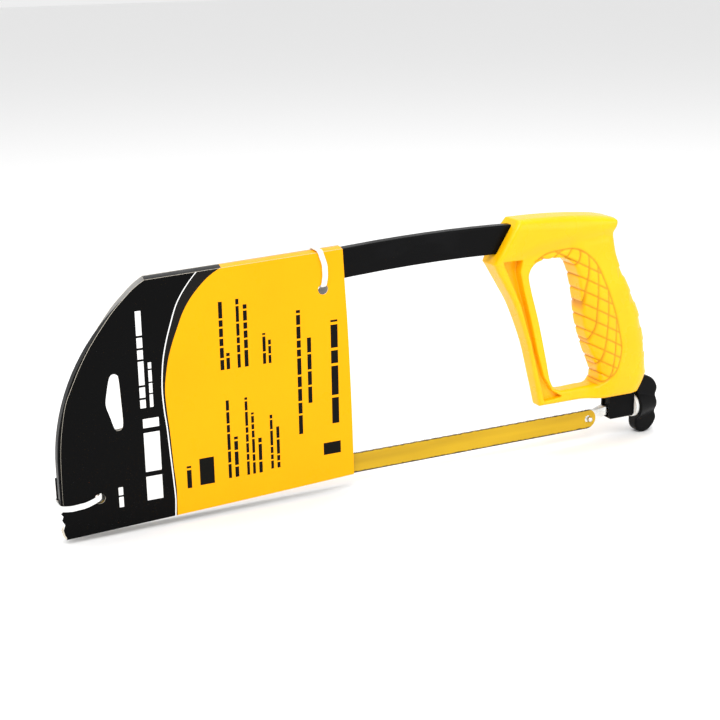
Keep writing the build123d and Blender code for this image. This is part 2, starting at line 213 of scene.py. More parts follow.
def new_material(name, color, roughness, **sockets):
    material = bpy.data.materials.new(name)
    material.use_nodes = True
    shader = material.node_tree.nodes["Principled BSDF"]
    shader.inputs["Base Color"].default_value = (*color, 1)
    shader.inputs["Roughness"].default_value = roughness
    for socket, value in sockets.items():
        shader.inputs[socket.replace("_", " ")].default_value = value
    return material


def node(material, kind, inputs=None, **settings):
    made = material.node_tree.nodes.new("ShaderNode" + kind)
    for key, value in settings.items():
        setattr(made, key, value)
    for key, value in (inputs or {}).items():
        if isinstance(value, bpy.types.NodeSocket):
            material.node_tree.links.new(value, made.inputs[key])
        else:
            made.inputs[key].default_value = value
    return made


def principled(material):
    return material.node_tree.nodes["Principled BSDF"]


def join(material, source, socket):
    material.node_tree.links.new(source, principled(material).inputs[socket])


def noise(material, scale, detail=3.0, stretch=(1, 1, 1)):
    """Noise in object space; stretch multiplies the scale along each axis."""
    place = node(material, "TexCoord").outputs["Object"]
    mapping = node(material, "Mapping", {"Vector": place, "Scale": stretch})
    texture = node(material, "TexNoise", {"Vector": mapping.outputs[0], "Scale": scale, "Detail": detail})
    return texture.outputs["Fac"]


def ramp(material, source, stops):
    made = node(material, "ValToRGB", {"Fac": source})
    elements = made.color_ramp.elements
    while len(elements) < len(stops):
        elements.new(0.5)
    for element, (position, color) in zip(elements, stops):
        element.position = position
        element.color = (*color, 1) if len(color) == 3 else color
    return made.outputs["Color"]


def remap(material, source, low_in, high_in, low_out, high_out):
    return node(material, "MapRange", {0: source, 1: low_in, 2: high_in, 3: low_out, 4: high_out}).outputs[0]


def add_roughness(material, scale, low_out, high_out, stretch=(1, 1, 1)):
    varied = noise(material, scale, 4.0, stretch)
    join(material, remap(material, varied, 0.3, 0.7, low_out, high_out), "Roughness")


def add_bump(material, scale, depth, stretch=(1, 1, 1), detail=3.0):
    height = noise(material, scale, detail, stretch)
    made = node(material, "Bump", {"Height": height, "Distance": depth, "Strength": 1.0})
    join(material, made.outputs[0], "Normal")


def add_color(material, source, stops):
    join(material, ramp(material, source, stops), "Base Color")


def painted(name, base, roughness, **sockets):
    """Black paint with faint paler scuffs."""
    material = new_material(name, base, roughness, **sockets)
    scuffed = tuple(2.2 * c for c in base)
    add_color(material, noise(material, 90.0, 8.0, (0.4, 1, 1)), [(0.5, base), (0.72, scuffed)])
    add_roughness(material, 60.0, roughness - 0.07, roughness + 0.08)
    add_bump(material, 900.0, 0.00002)
    return material


def moulded(name, base, roughness, grain=1500.0, **sockets):
    """Moulded plastic with slight shading and a fine grain."""
    material = new_material(name, base, roughness, **sockets)
    darker = tuple(0.93 * c for c in base)
    add_color(material, noise(material, 35.0, 4.0), [(0.35, darker), (0.65, base)])
    add_roughness(material, 45.0, roughness - 0.05, roughness + 0.08)
    add_bump(material, grain, 0.00001)
    return material


def plated(name, base, roughness):
    """Plated steel with dull patches and drawn marks."""
    material = new_material(name, base, roughness, Metallic=1.0)
    duller = tuple(0.72 * c for c in base)
    add_color(material, noise(material, 160.0, 6.0), [(0.35, duller), (0.6, base)])
    add_roughness(material, 300.0, roughness - 0.1, roughness + 0.14, (0.25, 1, 1))
    add_bump(material, 700.0, 0.00003, (0.4, 1, 1))
    return material


def printed(name, base, roughness=0.32, varied=0.9, sheen=0.06):
    """Coated card with a slightly uneven ink."""
    material = new_material(name, base, roughness, Specular_IOR_Level=sheen)
    add_color(material, noise(material, 18.0, 3.0), [(0.3, tuple(varied * c for c in base)), (0.7, base)])
    add_roughness(material, 90.0, roughness - 0.05, roughness + 0.1)
    add_bump(material, 420.0, 0.00004)
    return material


bow_paint = painted("bow_paint", (0.0016, 0.0016, 0.0018), 0.30, Specular_IOR_Level=0.07)
socket_paint = painted("socket_paint", (0.0018, 0.0018, 0.002), 0.40, Specular_IOR_Level=0.06)
knob_plastic = moulded("knob_plastic", (0.0018, 0.0018, 0.002), 0.36, Specular_IOR_Level=0.08)
handle_plastic = moulded("handle_plastic", (0.97, 0.50, 0.002), 0.27, Specular_IOR_Level=0.22,
                         Subsurface_Weight=0.06, Subsurface_Radius=(0.004, 0.0025, 0.0004),
                         Subsurface_Scale=1.0)
# Painted shade: the grooves of the chequered panel and its border are coloured a darker orange, read from the
# groove attribute, in place of the shade that falls into them
groove_shade_mask = node(handle_plastic, "Attribute", attribute_name="groove_and_shade").outputs["Fac"]
plain = principled(handle_plastic).inputs["Base Color"].links[0].from_socket
shade_share = remap(handle_plastic, groove_shade_mask, 0.15, 0.9, 0.0, 0.85)
# darker orange painted into the grooves as their shade
GROOVE_SHADE_COLOR = (0.55, 0.20, 0.001, 1)
shaded = node(handle_plastic, "Mix", {0: shade_share, 6: plain, 7: GROOVE_SHADE_COLOR}, data_type="RGBA")
join(handle_plastic, shaded.outputs[2], "Base Color")
zinc = plated("zinc", (0.80, 0.82, 0.82), 0.27)
nut_steel = plated("nut_steel", (0.62, 0.62, 0.60), 0.33)
nylon = moulded("nylon", (0.88, 0.88, 0.86), 0.36, Subsurface_Weight=0.3,
                Subsurface_Radius=(0.002, 0.002, 0.002))

# ---------------------------------------------------------------- handle

HANDLE_STEP = 0.55
HANDLE_SPACE = ((226.0, 340.5), (-15.4, 15.4), (11.5, 132.0))
POCKET_HALF = 1.6
OUTLINE_TOP = [(243.8, 129.4), (262.0, 129.3), (280.0, 128.5), (300.0, 126.6), (309.2, 124.9)]
OUTLINE_BACK = [(310.6, 123.4), (310.1, 112.0), (315.3, 95.2), (327.6, 72.3), (335.3, 47.4), (337.6, 27.0)]
OUTLINE_FOOT = [(330.6, 14.6)]
OUTLINE_FRONT = [(263.2, 14.6), (259.0, 32.3), (253.3, 54.7), (244.8, 76.9), (237.7, 89.8), (228.6, 105.0)]
OPENING = [(252.7, 97.2), (257.0, 102.9), (266.0, 104.4), (276.5, 103.6), (284.0, 97.6), (288.4, 83.0),
           (292.0, 61.0), (298.1, 43.0), (303.9, 30.0), (302.8, 23.4), (291.0, 22.6), (276.8, 22.9),
           (270.6, 28.6), (266.4, 44.5), (260.4, 67.5), (253.9, 89.0)]
POCKET = [(234.2, 106.2), (247.2, 106.0), (246.0, 99.0), (248.6, 88.5), (255.2, 66.5), (260.4, 47.0),
          (265.0, 33.0), (271.0, 23.6), (278.6, 18.8), (265.9, 17.8), (262.2, 31.0), (255.4, 55.4),
          (247.2, 79.4), (239.2, 96.0)]
# Chequered panel on each side of the grip
PANEL = [(255.6, 104.0), (263.1, 108.1), (273.2, 109.3), (281.9, 109.2), (288.2, 106.5), (295.8, 99.4),
         (301.6, 87.5), (307.3, 73.0), (311.3, 59.2), (314.1, 46.3), (312.9, 35.1), (309.6, 28.1),
         (304.9, 24.7), (299.0, 24.6), (287.0, 60.0), (280.0, 96.0), (268.0, 102.0)]
PANEL_BORDER = PANEL[:14]
CROSS_GROOVES = [
    [(274.2, 109.2), (271.4, 107.6), (266.5, 103.5)],
    [(280.0, 108.7), (277.8, 105.4), (274.0, 101.5)],
    [(284.8, 108.5), (285.4, 104.5), (284.5, 100.5), (281.0, 95.5)],
    [(290.5, 104.5), (290.9, 96.2), (290.6, 84.1), (290.5, 77.8), (290.1, 71.5), (288.5, 65.1)],
    [(296.7, 98.4), (296.8, 85.8), (297.0, 77.8), (296.8, 69.7), (296.9, 60.2), (294.8, 49.4)],
    [(303.6, 84.2), (303.8, 73.1), (303.5, 60.9), (303.3, 49.5), (302.8, 39.5), (300.5, 30.5)],
    [(309.5, 67.6), (309.7, 50.9), (309.6, 40.5), (309.5, 32.9), (309.0, 28.3)],
]
GROOVE_PITCH, GROOVE_SLOPE, GROOVE_TOP_Z, GROOVE_X = 7.55, -0.52, 100.2, 300.0
GROOVE_HALF, GROOVE_DEPTH = 0.5, 0.75
# Thumb pads along the back: front edge, upper and lower height
PADS = ((311.0, 95.2, 89.0), (319.9, 78.8, 72.0), (326.6, 63.2, 55.7), (331.0, 48.0, 40.0))
PAD_DEPTH = 0.55
WEB_HALF, WEB_GAIN = 5.2, 2.8     # half width of the web at the foot, and what it gains towards the top
GRIP_TOP_Z = 116.0
EDGE_BLEND, OPENING_BLEND, POCKET_BLEND, TOP_BLEND, GRIP_TOP_BLEND = 3.0, 2.6, 0.9, 4.0, 6.0
GRIP_TABLE = np.array([      # height, front edge, rear edge, half width
    (12.0, 296.0, 331.6, 9.4), (20.0, 303.0, 335.2, 11.4), (27.0, 304.6, 338.2, 12.8),
    (45.0, 297.5, 336.8, 13.9), (65.0, 291.6, 331.7, 14.0), (85.0, 288.5, 322.4, 12.8),
    (103.0, 282.0, 313.4, 10.6), (113.0, 278.0, 311.4, 10.0), (132.0, 278.0, 311.4, 10.0)])
TOP_TABLE = np.array([       # distance along the saw, lower edge, upper edge, half width
    (224.0, 102.0, 129.0, 8.6), (245.0, 107.0, 129.9, 9.4), (258.0, 110.0, 129.9, 10.6),
    (275.0, 112.0, 129.4, 11.4), (300.0, 115.5, 127.4, 11.7), (314.0, 118.5, 125.0, 11.0)])


def table_rows(table, at):
    return [np.interp(at, table[:, 0], table[:, k]) for k in (1, 2, 3)]


def handle_field():
    xs, ys, zs = grid_axes(HANDLE_SPACE, HANDLE_STEP)
    x, z = np.meshgrid(xs, zs, indexing="ij")
    outline = np.vstack([smooth_curve(OUTLINE_TOP), smooth_curve(OUTLINE_BACK),
                         OUTLINE_FOOT, smooth_curve(OUTLINE_FRONT)])
    opening = smooth_curve(OPENING, closed=True)
    panel = smooth_curve(PANEL, closed=True)
    edge = outline_distance(outline, x, z)
    hole = outline_distance(opening, x, z)
    pocket = outline_distance(np.array(POCKET), x, z)
    panel_edge = outline_distance(panel, x, z)

    grooves = line_distance(smooth_curve(PANEL_BORDER), x, z)
    crossed = np.full(x.shape, 1e9)
    for curve in CROSS_GROOVES:
        crossed = np.minimum(crossed, line_distance(smooth_curve(curve), x, z))
    run = (z - GROOVE_TOP_Z - GROOVE_SLOPE * (x - GROOVE_X)) / GROOVE_PITCH
    sloped = np.abs(run - np.round(run)) * GROOVE_PITCH / math.hypot(1, GROOVE_SLOPE)
    field = np.where(panel_edge < 0, np.minimum(crossed, sloped), 1e9)
    # The groove profile cuts the grooves and, returned from here, also paints shade into them
    groove_and_shade = np.exp(-(np.minimum(field, grooves) / GROOVE_HALF) ** 2)
    cut = GROOVE_DEPTH * groove_and_shade
    for front, upper, lower in PADS:
        run = smooth_step(-0.5, 0.3, x - front) * smooth_step(-0.4, 0.4, upper - z)
        run = run * smooth_step(-0.4, 0.4, z - lower)
        cut = cut + PAD_DEPTH * run

    x, z, edge, hole, pocket, cut, groove_and_shade = [a[:, None, :] for a in (x, z, edge, hole, pocket, cut, groove_and_shade)]
    y = np.abs(ys)[None, :, None]
    web = y - (WEB_HALF + WEB_GAIN * np.clip((z - 10.0) / 100.0, 0, 1))
    low_z, high_z, half = table_rows(TOP_TABLE, x)
    tall = (high_z - low_z) / 2
    top = rounded(y - half, np.abs(z - (low_z + high_z) / 2) - tall, np.minimum(0.7 * half, 0.96 * tall))
    front, rear, half = table_rows(GRIP_TABLE, z)
    grip = rounded(y - half, np.abs(x - (front + rear) / 2) - (rear - front) / 2, 0.9 * half)
    grip = smooth_max(grip, z - GRIP_TOP_Z, GRIP_TOP_BLEND)
    flow = 3.5 + 7.0 * smooth_step(34.0, 20.0, z)
    body = smooth_min(smooth_min(web, grip, flow), top, TOP_BLEND)
    body = smooth_max(body, edge, EDGE_BLEND)
    body = smooth_max(body, -hole, OPENING_BLEND)
    body = smooth_max(body, -np.maximum(pocket, POCKET_HALF - y), POCKET_BLEND)
    return body + cut, np.repeat(groove_and_shade, len(ys), axis=1), (xs[0], ys[0], zs[0])


field, groove_and_shade, start = handle_field()
points, quads, normals = surface_net(field, start, HANDLE_STEP)
handle = add_piece("handle_grip", points, quads, [handle_plastic], "saw", ["handle"],
                   normals=normals)
# The groove attribute carries the painted shade of the grooves to the handle's material
shade = handle.data.attributes.new("groove_and_shade", "FLOAT", "POINT")
groove_shade_at_point = sample_field(groove_and_shade, (points - np.array(start)) / HANDLE_STEP)
shade.data.foreach_set("value", groove_shade_at_point.astype(np.float32))

# ---------------------------------------------------------------- tension knob

KNOB_STEP = 0.4
KNOB_SPACE = ((333.0, 351.0), (-10.8, 10.8), (-19.6, 19.6))
KNOB_BASE_X, KNOB_END_X = 334.1, 349.8
KNOB_RADIUS = 18.2
HUB_R = (9.4, 5.4)           # at the base and at the end
WING_HALF = (4.4, 3.9)       # at the hub and at the tip
LOBE = [(333.9, 9.0), (334.1, 12.6), (335.6, 15.8), (338.2, 17.7), (341.4, KNOB_RADIUS),
        (344.9, 17.0), (347.9, 14.2), (349.6, 10.8), (349.6, 8.4), (348.7, 6.2)]
LOBE_INNER_Z = -2.0          # the lobe's outline closes below the axis
HUB_ROUND, WING_ROUND, HUB_BLEND, BASE_BLEND = 2.6, 1.5, 1.0, 0.7


def knob_field():
    xs, ys, zs = grid_axes(KNOB_SPACE, KNOB_STEP)
    x, y, z = np.meshgrid(xs, ys, zs, indexing="ij")
    along = (x - KNOB_BASE_X) / (KNOB_END_X - KNOB_BASE_X)
    hub_radius = HUB_R[0] + (HUB_R[1] - HUB_R[0]) * along
    hub = rounded(np.hypot(y, z) - hub_radius, x - KNOB_END_X, HUB_ROUND)
    flat_z, flat_x = np.meshgrid(zs, xs)
    lobe = np.vstack([[(333.9, LOBE_INNER_Z)], smooth_curve(LOBE), [(348.0, LOBE_INNER_Z)]])
    wing = outline_distance(lobe, flat_x, np.abs(flat_z))
    wing = np.repeat(wing[:, None, :], len(ys), axis=1)
    half = WING_HALF[0] + (WING_HALF[1] - WING_HALF[0]) * np.clip(np.abs(z) / KNOB_RADIUS, 0, 1)
    wings = rounded(wing, np.abs(y) - half, WING_ROUND)
    body = smooth_min(hub, wings, HUB_BLEND)
    body = smooth_max(body, KNOB_BASE_X - x, BASE_BLEND)
    return body, (xs[0], ys[0], zs[0] + AXIS_Z)


field, start = knob_field()
points, quads, normals = surface_net(field, start, KNOB_STEP)
add_piece("winged_knob", points, quads, [knob_plastic], "knob", ["tension_knob"],
          normals=normals)

# ---------------------------------------------------------------- blade

BLADE_HALF, BLADE_THICK, BLADE_Y = 6.05, 0.65, -1.0
BLADE_END, BLADE_SPAN = 5.5, 300.0
HOLE_R = 2.2
TEETH_X = (3.0, 297.0)
TOOTH_PITCH, TOOTH_DEPTH = 1.06, 0.62
SET_WAVE, SET_REACH = 6.4, 0.22
MERGE_DISTANCE = 1e-4


def blade_outline():
    """Rounded ends, a plain lower edge and teeth along the upper edge that lean towards the nose."""
    turn = np.linspace(-90, 90, 13)
    centre = BLADE_SPAN + BLADE_END - BLADE_HALF
    right = [(centre + BLADE_HALF * math.cos(math.radians(a)), BLADE_HALF * math.sin(math.radians(a)))
             for a in turn]
    left = [(BLADE_SPAN - px, -pz) for px, pz in right]
    right[-1] = (TEETH_X[1] + 1.0, BLADE_HALF)
    teeth = []
    for k in range(int((TEETH_X[1] - TEETH_X[0]) / TOOTH_PITCH)):
        x = TEETH_X[1] - k * TOOTH_PITCH
        teeth += [(x, BLADE_HALF - TOOTH_DEPTH), (x - 0.72 * TOOTH_PITCH, BLADE_HALF)]
    return right + teeth + left


def flat_triangles(loops, extra, marks=(), lines=()):
    """Triangles inside the first loop and outside the others, cut along closed marks and open lines.

    Gives the points, the triangles and the middle of each triangle.
    """
    coords, edges = [], []
    for curve, closed in [(loop, True) for loop in [*loops, *marks]] + [(line, False) for line in lines]:
        base, count = len(coords), len(curve)
        coords += [tuple(map(float, p)) for p in curve]
        edges += [(base + i, base + (i + 1) % count) for i in range(count if closed else count - 1)]
    coords += [tuple(map(float, p)) for p in extra]
    made = delaunay_2d_cdt([Vector(c) for c in coords], edges, [], 0, MERGE_DISTANCE)
    flat = np.array([tuple(v) for v in made[0]])
    faces = np.array([f for f in made[2] if len(f) == 3])
    middle = flat[faces].mean(axis=1)
    keep = inside_outline(np.array(loops[0]), middle[:, 0], middle[:, 1])
    for hole in loops[1:]:
        keep &= ~inside_outline(np.array(hole), middle[:, 0], middle[:, 1])
    return flat, faces[keep], middle[keep]


def plate(flat, faces, near, far, face_materials=None, rim_material=0):
    """A plate from a flat triangulation: near and far give Y at each point."""
    faces = np.asarray(faces)
    a, b, c = flat[faces[:, 0]], flat[faces[:, 1]], flat[faces[:, 2]]
    area = (b[:, 0] - a[:, 0]) * (c[:, 1] - a[:, 1]) - (b[:, 1] - a[:, 1]) * (c[:, 0] - a[:, 0])
    faces = np.where((area > 0)[:, None], faces, faces[:, ::-1])
    count = len(flat)
    points = np.vstack([np.c_[flat[:, 0], near, flat[:, 1]], np.c_[flat[:, 0], far, flat[:, 1]]])
    sides = set()
    for f in faces.tolist():
        for i in range(3):
            pair = (f[i], f[(i + 1) % 3])
            if (pair[1], pair[0]) in sides:
                sides.remove((pair[1], pair[0]))
            else:
                sides.add(pair)
    rim = [(p, p + count, q + count, q) for p, q in sorted(sides)]
    made = faces.tolist() + (faces[:, ::-1] + count).tolist() + [list(r) for r in rim]
    if face_materials is None:
        return points, made, None
    return points, made, list(face_materials[0]) + list(face_materials[1]) + [rim_material] * len(rim)


def circle(x, z, radius, count=28):
    return [(x + radius * math.cos(2 * math.pi * k / count), z + radius * math.sin(2 * math.pi * k / count))
            for k in range(count)]


DARK_EDGE = (0.00505, 0.0056)     # metres from the blade's centre line, where bare dark steel begins
blade_paint = new_material("blade_paint", (0.72, 0.42, 0.006), 0.36, Specular_IOR_Level=0.25)
place = node(blade_paint, "TexCoord").outputs["Object"]
height = node(blade_paint, "SeparateXYZ", {"Vector": place}).outputs["Z"]
from_edge = node(blade_paint, "Math", {0: height, 1: ORIGIN.z}, operation="SUBTRACT").outputs[0]
from_edge = node(blade_paint, "Math", {0: from_edge}, operation="ABSOLUTE").outputs[0]
wobble = remap(blade_paint, noise(blade_paint, 500.0, 4.0), 0.3, 0.7, -0.00028, 0.00028)
from_edge = node(blade_paint, "Math", {0: from_edge, 1: wobble}, operation="ADD").outputs[0]
dark = remap(blade_paint, from_edge, *DARK_EDGE, 0.0, 1.0)
streak = ramp(blade_paint, noise(blade_paint, 30.0, 6.0, (0.25, 1, 3)),
              [(0.3, (0.42, 0.25, 0.003)), (0.5, (0.53, 0.32, 0.004)), (0.72, (0.64, 0.40, 0.008))])
edge_mix = node(blade_paint, "Mix", {0: dark, 6: streak, 7: (0.020, 0.017, 0.012, 1)}, data_type="RGBA")
join(blade_paint, edge_mix.outputs[2], "Base Color")
add_roughness(blade_paint, 120.0, 0.28, 0.46, (0.3, 1, 1))
add_bump(blade_paint, 600.0, 0.00003, (0.3, 1, 1))

inner = [(x, z) for x in np.arange(4.0, 297.5, 0.8) for z in (5.0, 4.0, 2.0)]
inner += [(x, z) for x in np.arange(8.0, 294.0, 4.0) for z in (-3.6,)]
loops = [blade_outline(), circle(0.0, 0.0, HOLE_R), circle(BLADE_SPAN, 0.0, HOLE_R)]
flat, faces, _ = flat_triangles(loops, inner)
reach = smooth_step(3.4, 5.9, flat[:, 1]) * smooth_step(3.0, 12.0, flat[:, 0])
reach = reach * smooth_step(3.0, 12.0, BLADE_SPAN - flat[:, 0])
wave = SET_REACH * reach * np.sin(2 * math.pi * flat[:, 0] / SET_WAVE)
points, made, _ = plate(flat, faces, BLADE_Y - BLADE_THICK + wave, BLADE_Y + wave)
add_piece("saw_blade", points, made, [blade_paint], "saw", ["blade"])

# ---------------------------------------------------------------- retail card

CARD_HALF, CARD_THICK, CARD_SKEW = 5.2, 0.5, 2.2
CARD_FRONT = [(-24.4, -11.8), (-24.3, 18.0), (-23.2, 40.0), (-19.7, 59.3), (-15.1, 70.4), (-9.9, 80.8),
              (-3.6, 91.0), (6.5, 104.2), (13.3, 111.2), (19.6, 116.8), (25.0, 120.2)]
CARD_FOLD_END, CARD_REAR = (135.2, 124.4), [(136.2, 105.0), (137.6, 80.0), (139.0, 40.0), (139.9, -5.1)]
CARD_SAG = 0.4               # of its lower edge
TORN_EDGE = [(-24.1, -11.4), (-25.6, -9.2), (-26.5, -5.6), (-25.2, -3.2), (-26.9, -0.6), (-25.8, 1.6),
             (-27.3, 3.6), (-26.0, 4.6), (-24.4, 5.2)]
TORN_BOARD_Z = -4.4          # the tear shows bare board below this height and white paper above it
TORN_CORE = [(-23.9, -10.2), (-24.7, -8.8), (-25.3, -5.8), (-24.3, -3.0), (-25.7, -0.4), (-24.9, 1.7),
             (-26.0, 3.4), (-25.2, 4.0), (-24.5, 4.6)]
SLOT = [(5.6, 73.4), (7.6, 72.9), (8.7, 70.5), (9.3, 58.0), (9.6, 46.6), (8.6, 43.7), (6.6, 43.0),
        (5.0, 44.4), (3.0, 51.0), (1.2, 57.6), (2.0, 64.0), (3.8, 71.6)]
TIE_HOLE_R = 2.9
FRONT_TIE_HOLE, REAR_TIE_HOLE = (-5.2, 7.9), (123.3, 103.6)
WHITE_LINE = 0.65
WHITE_CURVE = [(54.3, 123.5), (46.8, 115.0), (41.0, 106.0), (37.0, 95.0), (34.0, 85.0), (32.0, 75.0),
               (31.0, 62.0), (31.5, 50.0), (32.5, 40.0), (33.5, 25.0), (34.5, 10.0), (35.0, 0.0),
               (34.5, -10.0)]
GREY_EDGE = [(69.5, 124.0), (59.0, 118.0), (50.6, 110.0), (45.0, 102.0), (41.0, 93.0), (37.5, 84.0),
             (34.9, 75.0), (32.9, 62.0), (33.2, 50.0), (34.2, 38.0), (35.2, 20.0), (36.2, 5.0), (35.8, -10.0)]
# Neutral blocks where the card carries print: x range, z range, ink
PRINT = [
    ((20.0, 28.6), (2, 47), "white"), ((19.2, 22.2), (53, 105), "white"), ((24.4, 26.2), (53, 77), "white"),
    ((4.8, 7.2), (1, 12), "white"),
    ((42.2, 44.8), (4.5, 17), "black"), ((49.4, 57.6), (5, 20), "black"), ((65.6, 67.4), (6, 50), "black"),
    ((69.4, 71.6), (6, 29), "black"), ((76.2, 77.8), (6, 50), "black"), ((79.6, 81.2), (6, 41), "black"),
    ((83.2, 85.2), (6, 26), "black"), ((90.2, 91.8), (7, 38), "black"), ((93.8, 95.6), (7, 31), "black"),
    ((63.6, 65.8), (67, 104), "black"), ((67.0, 69.0), (67, 76), "black"), ((73.2, 75.0), (67, 106), "black"),
    ((77.2, 79.4), (67, 101), "black"), ((87.6, 89.4), (67, 84), "black"), ((90.8, 92.4), (67, 80), "black"),
    ((107.2, 109.6), (24, 94), "black"), ((113.2, 115.6), (41, 78), "black"),
    ((127.2, 131.4), (27, 86), "black"),
    ((121.6, 132.0), (9.4, 16.4), "black"),
]
PRINT_GAP, PRINT_WORD = 0.9, 5.2
CARD_GRID_X, CARD_GRID_Z, CARD_SPACING = (-22.0, 138.0), (-8.0, 122.0), 4.0

ink_black = printed("card_black", (0.0012, 0.0012, 0.0013), 0.28)
ink_grey = printed("card_grey", (0.010, 0.009, 0.008), 0.3)
ink_yellow = printed("card_yellow", (0.91, 0.395, 0.003), 0.3, 0.94)
ink_white = printed("card_white", (0.85, 0.85, 0.84), 0.35)
ink_print = printed("card_print", (0.004, 0.004, 0.003), 0.3)
board = printed("card_board", (0.66, 0.60, 0.50), 0.75, 0.8)
liner = printed("card_liner", (0.60, 0.59, 0.57), 0.7, 0.88)
CARD_MATERIALS = [ink_black, ink_grey, ink_yellow, ink_white, ink_print, board, liner]
BLACK, GREY, YELLOW, WHITE, INK, BOARD, LINER = range(7)


CARD_TOP_STEPS, CARD_FOOT_STEPS = 22, 30
TORN_STEPS = 6               # points of the smooth front edge that the torn edge takes the place of


def card_loop(torn):
    """Outline of a panel, with the torn or the whole front edge."""
    front = smooth_curve(CARD_FRONT)
    if torn:
        front = np.vstack([TORN_EDGE, front[TORN_STEPS:]])
    rear = smooth_curve([CARD_FOLD_END, *CARD_REAR], steps=6)
    run = np.array(CARD_FOLD_END) - front[-1]
    top = [tuple(front[-1] + run * k / CARD_TOP_STEPS) for k in range(1, CARD_TOP_STEPS)]
    corner, foot = np.array(CARD_REAR[-1]), front[0]
    bottom = []
    for k in range(1, CARD_FOOT_STEPS):
        sag = CARD_SAG * math.sin(math.pi * k / CARD_FOOT_STEPS)
        bottom.append(tuple(corner + (foot - corner) * k / CARD_FOOT_STEPS - (0, sag)))
    return [tuple(p) for p in front] + top + [tuple(p) for p in rear] + bottom


def greeked_blocks(rng):
    """Each line of print is broken into word-like blocks of random length."""
    blocks = []
    for (x0, x1), (z0, z1), ink in PRINT:
        z = z0
        while z < z1 - 0.8:
            run = PRINT_WORD * rng.uniform(0.6, 1.9) * (1 + 0.35 * (x1 - x0 - 2))
            end = min(z1, z + run)
            blocks.append(([(x0, z), (x1, z), (x1, end), (x0, end)], ink))
            z = end + PRINT_GAP * (1 + 0.3 * (x1 - x0 - 2))
    return blocks


def extend(curve):
    """The curve with its ends carried past the card's edges."""
    curve = smooth_curve(curve)
    first = curve[0] + (curve[0] - curve[1]) / np.linalg.norm(curve[0] - curve[1]) * 6
    last = curve[-1] + (curve[-1] - curve[-2]) / np.linalg.norm(curve[-1] - curve[-2]) * 6
    return np.vstack([first, curve, last])


def card_panel(outer, holes, marks=(), lines=()):
    """Flat triangulation of one panel, cut along the borders of its print, without unused points."""
    grid = [(x, z) for x in np.arange(*CARD_GRID_X, CARD_SPACING)
            for z in np.arange(*CARD_GRID_Z, CARD_SPACING)]
    flat, faces, middle = flat_triangles([outer, *holes], grid, marks, lines)
    used, faces = np.unique(faces, return_inverse=True)
    return flat[used], faces.reshape(-1, 3), middle


def card_bow(flat):
    """The panel is not quite flat: it bellies inwards a little between the fold and the lower edge."""
    across = np.clip((flat[:, 0] + 24.0) / 164.0, 0, 1)
    up = np.clip((flat[:, 1] + 10.0) / 133.0, 0, 1)
    belly = 0.32 * np.sin(math.pi * across) * np.sin(math.pi * up)
    return belly + 0.12 * np.sin(5.0 * across + 3.0 * up) * (1 - up)


rng = np.random.default_rng(PRINT_SEED)
outer = card_loop(torn=True)
tie_holes = [circle(*FRONT_TIE_HOLE, TIE_HOLE_R, 24), circle(*REAR_TIE_HOLE, TIE_HOLE_R, 24)]
slot_loop = [tuple(p) for p in smooth_curve(SLOT, closed=True, steps=4)]
blocks = greeked_blocks(rng)
white_line, grey_line = extend(WHITE_CURVE), extend(GREY_EDGE)
white_edge = white_line + np.array([WHITE_LINE, 0.0])
flat, faces, middle = card_panel(outer, [slot_loop, *tie_holes], [b for b, _ in blocks],
                                 [white_line, white_edge, grey_line, np.array(TORN_CORE)])


def right_of(line, points):
    """Which points lie on the far side of a curve that runs from the fold down to the lower edge."""
    order = np.argsort(line[:, 1])
    return points[:, 0] > np.interp(points[:, 1], line[order, 1], line[order, 0])


ink = np.full(len(faces), BLACK)
ink[right_of(white_line, middle)] = WHITE
ink[right_of(white_edge, middle)] = GREY
ink[right_of(grey_line, middle)] = YELLOW
core_line = np.array(TORN_CORE)
torn = (middle[:, 1] < core_line[-1, 1]) & ~right_of(core_line, middle)
ink[torn] = np.where(middle[torn, 1] < TORN_BOARD_Z, BOARD, WHITE)
for block, color in blocks:
    marked = inside_outline(np.array(block), middle[:, 0], middle[:, 1])
    ink[marked] = WHITE if color == "white" else INK
bowed = card_bow(flat)
inner = CARD_HALF - CARD_THICK
points, made, used = plate(flat, faces, bowed - CARD_HALF, bowed - inner,
                           (ink, np.full(len(faces), LINER)), BOARD)
add_piece("card_near_panel", points, made, CARD_MATERIALS, "saw", ["display_card"], used)

far_slot = [(8.0, 73.6), (11.6, 72.0), (12.9, 56.0), (13.0, 43.0), (10.0, 40.6), (4.6, 42.4), (1.2, 55.0),
            (2.0, 66.0), (4.4, 73.0)]
far_slot = [tuple(p) for p in smooth_curve(far_slot, closed=True, steps=4)]
far_outer = [(px + CARD_SKEW, pz) for px, pz in card_loop(torn=False)]
flat, faces, _ = card_panel(far_outer, [far_slot, *tie_holes])
bowed = -card_bow(flat)
points, made, used = plate(flat, faces, bowed + inner, bowed + CARD_HALF,
                           (np.full(len(faces), LINER), np.full(len(faces), YELLOW)), BOARD)
add_piece("card_far_panel", points, made, CARD_MATERIALS, "saw", ["display_card"], used)

# Folded top of the card: a shallow arch from the near panel's upper edge to the far panel's
FOLD_ROWS, FOLD_COLUMNS = 9, 80
FOLD_DROP = 0.35              # of the fold's two sides below its middle
FOLD_GREY_X, FOLD_YELLOW_X = 53.0, 66.0


def fold_ink(x):
    if x < FOLD_GREY_X:
        return BLACK
    return GREY if x < FOLD_YELLOW_X else YELLOW


